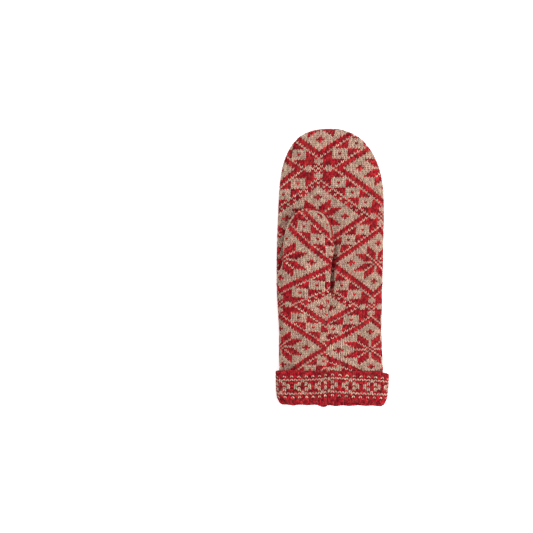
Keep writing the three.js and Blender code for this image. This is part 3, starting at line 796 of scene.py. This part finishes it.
def knit(name, place, columns, rows, chart, keep, facing=1, apex=1, slim=0):
    """The red and the beige stitches of one face, as two pieces. slim, up to 1, thins all the beige ones and
    lightens them with part of the lone stitches' painted highlight.
    """
    net = Net(columns, rows, place, facing)
    c, r = np.meshgrid(np.arange(columns[0], columns[1] + 1), np.arange(rows[0], rows[1] + 1))
    c, r = c.ravel(), r.ravel()
    there = (net.spare_at(c, r) > -MOST_PAST) & keep(net.at(c, r)[0])
    c, r = c[there], r[there]
    beige = chart(c, r)
    pieces = []
    for colour, chosen in (("red", ~beige), ("beige", beige)):
        yarn = YARNS[colour]
        at_c, at_r = c[chosen], r[chosen]
        company = np.zeros(len(at_c))
        for step_c, step_r in ((1, 0), (-1, 0), (0, 1), (0, -1)):
            company += chart(at_c + step_c, at_r + step_r) == beige[chosen]
        lone = np.clip(1 - company, 0, 1)
        painted_highlight = np.zeros(len(at_c))
        # Lone beige stitches are lightened at random: a painted highlight
        if colour == "beige":
            lone = np.maximum(lone, slim)
            painted_highlight = lone * RNG.uniform(*LONE_PAINTED_HIGHLIGHT, len(at_c))
        fat = yarn["fat"] + yarn["lone_fat"] * lone
        lift = yarn["lone_lift"] * lone
        piece = stitch_mesh(f"{name}_{colour}", net, at_c, at_r, apex, yarn["wool"], fat, lift, painted_highlight)
        pieces.append(piece)
    return pieces


def grid_wall(name, surface, ys, columns, keep, facing, relief=None):
    """A closed wall behind a panel's stitches, where keep says which squares are there."""
    angles = np.linspace(0, np.pi, columns + 1)
    outer = surface(ys[:, None], angles[None, :], BACKING)
    inner = surface(ys[:, None], angles[None, :], WALL)
    if relief is not None:
        for face in (outer, inner):
            face[..., 2] -= relief(face[..., 0], face[..., 1])
    kept = keep((outer[:-1, :-1] + outer[1:, 1:]) / 2)
    vertices = np.concatenate([outer.reshape(-1, 3), inner.reshape(-1, 3)])
    under = outer[..., 0].size
    at = np.arange(under).reshape(outer.shape[:2])
    a, b = at[:-1, :-1], at[:-1, 1:]
    c, d = at[1:, 1:], at[1:, :-1]
    outside = np.stack([a, b, c, d], -1)[kept]
    faces = [outside, outside[:, ::-1] + under]
    padded = np.pad(kept, 1)
    for beside, start, end in (
        (padded[:-2, 1:-1], a, b),
        (padded[2:, 1:-1], c, d),
        (padded[1:-1, :-2], d, a),
        (padded[1:-1, 2:], b, c),
    ):
        s, e = start[kept & ~beside], end[kept & ~beside]
        faces.append(np.stack([e, s, s + under, e + under], -1))
    faces = np.concatenate(faces)[:, ::facing]
    # The outer and side faces take the wool darkened as painted shade, the inner faces the reverse knit's
    # own colours
    kinds = np.zeros(len(faces), np.int32)
    kinds[len(outside):2 * len(outside)] = 1
    return build_mesh(name, vertices, faces, [PAINTED_SHADE_BACKING_WOOL, REVERSE_WOOL], face_material=kinds)


def everywhere(points):
    return np.ones(points.shape[:-1], bool)


def tip_rows(start, straight_to, tip, rows):
    """The rows of a wall: evenly spaced up to straight_to, then closer and closer towards the tip."""
    share = np.sin(np.linspace(0, np.pi / 2, rows[1] + 1)[1:])
    return np.concatenate([np.linspace(start, straight_to, rows[0]), mix(straight_to, tip["y"], share)])


# How much of the palm is left out under the front panel, and how near to it the back of the thumb may come
UNDER_FRONT = WALL + 0.4
THUMB_BACK_CLEAR = {"line": 0.5, "front": 0.3}


def front_height(x, y):
    front = front_size(y)
    return front_point(y, angle_at(front.left, front.right, x))[..., 2]


def on_palm(points, edge_x=PALM_SEAM_X):
    """The palm without what the thumb and the lower left panel take of it."""
    x, y, z = np.moveaxis(points, -1, 0)
    front = front_size(y)
    beside_thumb = (x <= front.left) | (x >= front.right) | (y >= THUMB_TIP["y"])
    in_thumb = ~beside_thumb & (z > front_height(x, y) - UNDER_FRONT)
    return ~np.where(y < thumb_line(x), x < edge_x, in_thumb)


# How far the stitches beside the seam reach past it. There they dip below those of the other side
SEAM_REACH = 1.6


def palm_side_of_seam(points):
    return on_palm(points, seam_x(points[..., 1]) - SEAM_REACH)


def thumb_side_of_seam(points):
    x, y = points[..., 0], points[..., 1]
    return ((x < seam_x(y) + SEAM_REACH) | (y > CROTCH[1])) & ~in_rim(x, y)


def on_thumb_back(points):
    x, y, z = np.moveaxis(points, -1, 0)
    above_line = y > thumb_line(x) + THUMB_BACK_CLEAR["line"]
    return above_line & (z < front_height(x, y) - THUMB_BACK_CLEAR["front"])


# The edge of the thumb: a chain of stitches along its outline, placed by the distance from its tip. It is
# two stitches wide on the right and one on the left, where it is dotted near the tip
RIM = {"row": 1.75, "inset": 0.3, "shoulder": 0.8, "column": 1.7, "left": -50, "right": 38, "proud": 0.2}
RIM_SHOULDER_ROWS = (-4, 3)
RIM_DOTTED_TO = -9
RIM_WIDTH = {"left": 0.6, "right": 1.5}
RIM_SLOPE_STEP = 0.8
RIM_START_TURN = -0.4
RIM_POINTS = 300
RIM_YS = THUMB_TIP["y"] * np.sin(np.linspace(RIM_START_TURN, np.pi / 2, RIM_POINTS))
RIM_LEFT, RIM_RIGHT = outline(THUMB, THUMB_TIP, RIM_YS)
RIM_X = np.concatenate([RIM_LEFT, RIM_RIGHT[::-1]])
RIM_Y = np.concatenate([RIM_YS, RIM_YS[::-1]])
RIM_RUN = lengths_along(np.stack([RIM_X, RIM_Y], -1))
RIM_RUN -= RIM_RUN[len(RIM_YS)]


def rim_place(c, r):
    """Columns count inwards from the outline, rows along it from the left over the tip to the right."""
    run = RIM["row"] * r
    inset = RIM["inset"] + RIM["shoulder"] * ramp(*RIM_SHOULDER_ROWS, r) + RIM["column"] * c
    ahead, behind = run + RIM_SLOPE_STEP, run - RIM_SLOPE_STEP
    slope_x = np.interp(ahead, RIM_RUN, RIM_X) - np.interp(behind, RIM_RUN, RIM_X)
    slope_y = np.interp(ahead, RIM_RUN, RIM_Y) - np.interp(behind, RIM_RUN, RIM_Y)
    length = np.maximum(np.hypot(slope_x, slope_y), TINY)
    x = np.interp(run, RIM_RUN, RIM_X) + inset * slope_y / length
    y = np.interp(run, RIM_RUN, RIM_Y) - inset * slope_x / length
    front = front_size(y)
    spare = np.where((r < -0.5) & (c > 0.5), -2 * MOST_PAST, 0)
    return front_point(y, angle_at(front.left, front.right, x), -RIM["proud"]), spare


def rim_is_beige(c, r):
    return (c == 1) | (r < RIM_DOTTED_TO) | ((r < 0) & (r % 2 == 0))


def in_rim(x, y):
    """Where the chain lies, so that the front's own stitches leave room for it."""
    away = np.hypot(x[..., None] - RIM_X, y[..., None] - RIM_Y)
    nearest = np.argmin(away, axis=-1)
    run = RIM_RUN[nearest]
    right_width = RIM["shoulder"] + RIM_WIDTH["right"] * RIM["column"]
    width = np.where(run > 0, right_width, RIM_WIDTH["left"] * RIM["column"])
    return (away.min(axis=-1) < width) & (run > RIM["left"]) & (run < RIM["right"])


START_Y = INNER_LEG_Y + PLAY
THUMB_START_Y = -33
THUMB_STRAIGHT_TO = 20
FRONT_CENTRE_X = -25
THUMB_BACK_CENTRE_X = -22

# Stitches laid out evenly where the photograph doesn't show them. centre is where a star's middle lies
THUMB_BACK_LAYOUT = {"stitch": 2.7, "row": 1.8, "centre": (0, 0), "drift": 0.03}
BACK_LAYOUT = {"stitch": 2.67, "row": 1.72, "centre": (-3.1, -33.3), "drift": 0.07}

palm_face = Unrolled(palm_point, START_Y, HAND_TIP, HAND_TIP["x"], rise=1)
palm_place = fitted_place(palm_face, PALM_MARKS, PALM_TERMS, palm_relief)
palm_knit = knit("palm", palm_place, (-36, 40), (-84, 50), body_is_beige, palm_side_of_seam)

front_face = Unrolled(front_point, START_Y, THUMB_TIP, FRONT_CENTRE_X, rise=1, flat_high=seam_share)
front_place = fitted_place(front_face, FRONT_MARKS, FRONT_TERMS, front_relief)
front_knit = knit("thumb_front", front_place, (-12, 30), (-62, 34), front_is_beige, thumb_side_of_seam)
rim_rows = (round(RIM["left"] / RIM["row"]), round(RIM["right"] / RIM["row"]))
front_knit += knit("thumb_rim", rim_place, (0, 1), rim_rows, rim_is_beige, everywhere)

thumb_back_face = Unrolled(thumb_back_point, THUMB_START_Y, THUMB_TIP, THUMB_BACK_CENTRE_X, rise=-1)
thumb_back_place = plain_place(thumb_back_face, **THUMB_BACK_LAYOUT)
thumb_back_knit = knit(
    "thumb_back", thumb_back_place, (-14, 14), (-22, 38), body_is_beige, on_thumb_back, facing=-1
)

back_face = Unrolled(back_point, START_Y, HAND_TIP, HAND_TIP["x"], rise=-1)
back_place = plain_place(back_face, **BACK_LAYOUT)
back_knit = knit("back", back_place, (-28, 28), (-48, 98), body_is_beige, everywhere, facing=-1)

hand_ys = tip_rows(START_Y, HAND_TIP["fade"][0], HAND_TIP, rows=(90, 26))
front_ys = tip_rows(START_Y, THUMB_STRAIGHT_TO, THUMB_TIP, rows=(64, 20))
thumb_back_ys = tip_rows(THUMB_START_Y, THUMB_STRAIGHT_TO, THUMB_TIP, rows=(30, 20))
palm_wall = grid_wall("palm_wall", palm_point, hand_ys, 80, on_palm, facing=1, relief=palm_relief)
back_wall = grid_wall("back_wall", back_point, hand_ys, 64, everywhere, facing=-1)
front_wall = grid_wall(
    "thumb_front_wall", front_point, front_ys, 48, everywhere, facing=1, relief=front_relief
)
thumb_back_wall = grid_wall(
    "thumb_back_wall", thumb_back_point, thumb_back_ys, 40, on_thumb_back, facing=-1
)

# The turned cuff. Its section runs from inside the hem over the outside, round the fold and up the inner leg
FOLD_RADIUS = WALL + PLAY / 2
FOLD_CENTRE = FOLD_Y + FOLD_RADIUS
HEM_FORM = {"bend": 0.9, "inside": 2.2, "outside": 2}
SECTION_STEPS = {"hem": 8, "outside": 23, "fold": 12, "leg": 3}
EDGE_LIFT = 0.5
RING_Y = -108.0
RING_STEPS = 1440

# How far the cuff's left and right sides droop towards the fold
CUFF_DROOP = {"left": 0.7, "right": 2.2, "from": -112, "power": 8}

# The groove of the cuff's seam, and the waves of the fold along the palm: a bulge, short ones and long ones
GROOVE = {"deep": 0.3, "width": 1.3, "depths": (4.5, 2.5)}
FOLD_WAVE = {"bulge": 1.5, "x": -8.2, "width": 4, "from": -118, "short": (0.35, 2.1), "long": (0.25, 7.3)}


def cuff_section(sunk):
    """Points (y, depth) of the section, sunk below the stitches' crests, and the distance along them."""
    hem = HEM_Y - sunk
    bend = HEM_FORM["bend"]
    half = (WALL - sunk) / 2
    points = [(hem - HEM_FORM["inside"], WALL), (hem - bend, WALL)]
    for turn in np.linspace(0, np.pi, SECTION_STEPS["hem"] + 1)[1:-1]:
        points.append((hem - bend + bend * math.sin(turn), sunk + half + half * math.cos(turn)))
    points.append((hem - bend, sunk))
    outside_ys = np.linspace(hem - HEM_FORM["outside"], FOLD_CENTRE, SECTION_STEPS["outside"] + 1)
    points += [(y, sunk) for y in outside_ys]
    radius = FOLD_RADIUS - sunk
    for turn in np.linspace(0, np.pi, SECTION_STEPS["fold"] + 1)[1:]:
        points.append((FOLD_CENTRE - radius * math.sin(turn), FOLD_RADIUS - radius * math.cos(turn)))
    leg_ys = np.linspace(FOLD_CENTRE, INNER_LEG_Y, SECTION_STEPS["leg"] + 1)[1:]
    points += [(y, 2 * FOLD_RADIUS - sunk) for y in leg_ys]
    points = np.array(points)
    along = lengths_along(points)
    return points, along - along[np.argmax(points[:, 0])]


def cuff_point(y, depth, turn):
    """One point of the cuff, depth below its face. turn is 0 at the left side and goes over the palm."""
    left = column(CUFF, "left", y) + depth
    right = column(CUFF, "right", y) - depth
    thick = column(CUFF, "thick", y)
    seam = thick * SEAM_SHARE + EDGE_LIFT
    turn = np.mod(turn, 2 * np.pi)
    upper = turn <= np.pi
    angle = np.where(upper, turn, 2 * np.pi - turn)
    full = fullness(angle)
    x = mix(left, right, (1 - np.cos(angle)) / 2)
    top_z = seam + (thick - depth - seam) * full
    low_z = seam - (seam - depth) * np.minimum(1, FLAT_SHARE * full)
    z = np.where(upper, top_z, low_z)
    droop = np.where(x < 0, CUFF_DROOP["left"], CUFF_DROOP["right"])
    droop = droop * np.cos(turn) ** CUFF_DROOP["power"] * ramp(CUFF_DROOP["from"], HEM_Y, y)
    groove = GROOVE["deep"] * bell(x, PALM_SEAM_X, GROOVE["width"]) * upper * ramp(*GROOVE["depths"], depth)
    wave = FOLD_WAVE["bulge"] * bell(x, FOLD_WAVE["x"], FOLD_WAVE["width"])
    for phase, (height, length) in enumerate((FOLD_WAVE["short"], FOLD_WAVE["long"])):
        wave = wave + height * np.sin(x / length + phase)
    wave = wave * ramp(FOLD_WAVE["from"], FOLD_Y, y) * upper
    return np.stack([x, y + x * CUFF_SLOPE - droop - wave, z - groove], -1)


# The cuff's girth at the middle of its rings, read by the turn
TURNS = np.linspace(0, 2 * np.pi, RING_STEPS + 1)
GIRTHS = lengths_along(cuff_point(np.full(len(TURNS), RING_Y), 0.0, TURNS))


def girth_at(x):
    """The distance along the cuff's girth at which its palm side passes x."""
    turn = angle_at(column(CUFF, "left", RING_Y), column(CUFF, "right", RING_Y), x)
    return np.interp(turn, TURNS, GIRTHS)


CUFF_CENTRE_ROW = 14.9

# The height of a row above the middle of the rings and below it, towards the fold
CUFF_ROW = {"above": 1.5, "below": 1.64}
CUFF_ROWS = (-19, 11)

# How far the rows of the cuff sag, read at x in place of y. It fades out steeply at the sides of the palm
CUFF_SAG = {"y": (-53, -30, -12, -2, 14, 30, 53), "sag": (1.1, 0.6, -0.3, -1.7, -0.8, -0.1, 0.7)}
SAG_FADE = 4

# The cuff's knit on each side of its seam: the x of column 0, a stitch's width and how it changes by column.
# The first and last columns are half drawn into the seam
RIGHT_KNIT = {"x": 16.4, "stitch": 3.3, "change": 0.0, "drawn": (-6, 60)}
LEFT_KNIT = {"x": -27.4, "stitch": 3.26, "change": -0.04, "drawn": (-20, 20)}
SEAM_DRAW = 0.75

# How near a stitch may come to the seam, in stitches, at each end of the right knit
SEAM_MARGINS = (0.3, 0.2)

# How much thinner the cuff's beige yarn is, as if that much of it stood alone, which also gives it that
# share of the lone stitches' painted highlight
CUFF_SLIM = 0.2

# How deep the wall behind the cuff's stitches lies, and how far above the fold its inside starts
CUFF_BACKING = 1.0
INSIDE_START = 0.4
WALL_TURNS = 180


def cuff_place(part):
    outside, along = cuff_section(0.0)

    def place(c, r):
        c = mix(np.clip(c, *part["drawn"]), c, SEAM_DRAW)
        girth = np.mod(girth_at(part["x"]) + part["stitch"] * c + part["change"] * c * c, GIRTHS[-1])
        turn = np.interp(girth, GIRTHS, TURNS)
        x = cuff_point(RING_Y, 0.0, turn)[..., 0]
        upper = np.clip(np.sin(turn) * SAG_FADE, 0, 1)
        row_height = np.where(r > 0, CUFF_ROW["above"], CUFF_ROW["below"])
        distance = CUFF_CENTRE_ROW - row_height * r + column(CUFF_SAG, "sag", x) * upper
        y = np.interp(distance, along, outside[:, 0])
        depth = np.interp(distance, along, outside[:, 1])
        spare = np.minimum(distance - along[0], along[-1] - distance)
        return cuff_point(y, depth, turn), spare

    return place


right_start = girth_at(RIGHT_KNIT["x"])
RIGHT_COLUMNS = (
    math.ceil((girth_at(PALM_SEAM_X) - right_start) / RIGHT_KNIT["stitch"] - SEAM_MARGINS[0]),
    math.floor((GIRTHS[-1] - right_start) / RIGHT_KNIT["stitch"] - SEAM_MARGINS[1]),
)
LEFT_COLUMNS = (-8, 7)


def cuff_knit_part(name, part, columns):
    place = cuff_place(part)
    return knit(name, place, columns, CUFF_ROWS, cuff_is_beige, everywhere, apex=-1, slim=CUFF_SLIM)


cuff_right = cuff_knit_part("cuff_right", RIGHT_KNIT, RIGHT_COLUMNS)
cuff_left = cuff_knit_part("cuff_left", LEFT_KNIT, LEFT_COLUMNS)


# The closed wall behind the cuff's stitches, darkened all over as painted shade
inner_depth = WALL + PLAY
inner_y = FOLD_CENTRE + INSIDE_START
inside = [(INNER_LEG_Y, inner_depth), (inner_y, inner_depth), (inner_y, WALL)]
wall_ys, wall_depths = np.array([*cuff_section(CUFF_BACKING)[0], *inside]).T
wall_turns = np.interp(np.linspace(0, GIRTHS[-1], WALL_TURNS + 1)[:-1], GIRTHS, TURNS)
wall_points = cuff_point(wall_ys[None, :], wall_depths[None, :], wall_turns[:, None])
at = np.arange(wall_points[..., 0].size).reshape(wall_points.shape[:2])
beside = np.roll(at, -1, axis=0)
wall_faces = np.stack([at, np.roll(at, -1, axis=1), np.roll(beside, -1, axis=1), beside], -1)
cuff_wall = build_mesh("cuff_wall", wall_points.reshape(-1, 3), wall_faces.reshape(-1, 4), [PAINTED_SHADE_BACKING_WOOL])

for wall, panel, flat, area, rests_on, knits in (
    (palm_wall, "palm_panel", (0.1035, 0.25), 0.0185, ["back_wall"], palm_knit),
    (back_wall, "back_panel", (0.104, 0.251), 0.0252, [], back_knit),
    (front_wall, "thumb_front_panel", (0.061, 0.177), 0.0088, ["palm_wall"], front_knit),
    (thumb_back_wall, "thumb_back_panel", (0.051, 0.0885), 0.003, ["palm_wall"], thumb_back_knit),
):
    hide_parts(panel)
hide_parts("turned_cuff")

# The plate is the CAD node itself, and so are its ties
for name, material, slot_name in (
    ("label_plate", STEEL, "satin_plate"),
    ("plate_tie_left", RED_WOOL, "red_yarn"),
    ("plate_tie_right", RED_WOOL, "red_yarn"),
):
    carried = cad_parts[name]
    carried.data.materials.clear()
    carried.data.materials.append(material)

# Floor, light and camera
FLOOR_SIZE = 3.2
bpy.ops.mesh.primitive_plane_add(size=FLOOR_SIZE)
floor = bpy.context.object
floor.name = "floor"
matt = {"Roughness": 1.0, "Specular IOR Level": 0.0, "Base Color": (0.8, 0.8, 0.8, 1)}
glow = {"Emission Color": (1, 1, 1, 1), "Emission Strength": 0.6}
floor.data.materials.append(new_material("floor_white", {**matt, **glow})[0])


def area_light(name, place, target, size, power):
    data = bpy.data.lights.new(name, "AREA")
    data.shape = "DISK"
    data.size = size
    data.energy = power
    light = bpy.data.objects.new(name, data)
    light.location = place
    direction = np.array(target, float) - np.array(place, float)
    light.rotation_mode = "QUATERNION"
    light.rotation_quaternion = Vector(direction).to_track_quat("-Z", "Y")
    bpy.context.scene.collection.objects.link(light)


area_light("key", place=(1.0, -0.25, 1.3), target=(0, 0, 0), size=0.38, power=23.5)
area_light("fill", place=(0.3, 1.3, 0.7), target=(0, 0.05, 0), size=0.9, power=13.5)
area_light("left", place=(-1.35, 0.1, 0.5), target=(0, 0, 0), size=0.9, power=5)

world = bpy.data.worlds.new("studio")
bpy.context.scene.world = world
world.use_nodes = True
sky = {"Color": (1, 1, 1, 1), "Strength": 0.55}
connect(world.node_tree, world.node_tree.nodes["Background"], sky)

CAMERA_DISTANCE = 3.4
SENSOR = 36
frame_width = FRAME_PIXELS * PIXEL / 1000
camera_data = bpy.data.cameras.new("camera")
camera_data.sensor_width = SENSOR
camera_data.lens = SENSOR * CAMERA_DISTANCE / frame_width
camera_data.clip_end = 20
camera = bpy.data.objects.new("camera", camera_data)
camera.location = (
    (FRAME_PIXELS / 2 - ORIGIN_PIXEL[0]) * PIXEL / 1000,
    (ORIGIN_PIXEL[1] - FRAME_PIXELS / 2) * PIXEL / 1000,
    CAMERA_DISTANCE,
)
bpy.context.scene.collection.objects.link(camera)
bpy.context.scene.camera = camera
bpy.context.scene.view_settings.view_transform = "Standard"
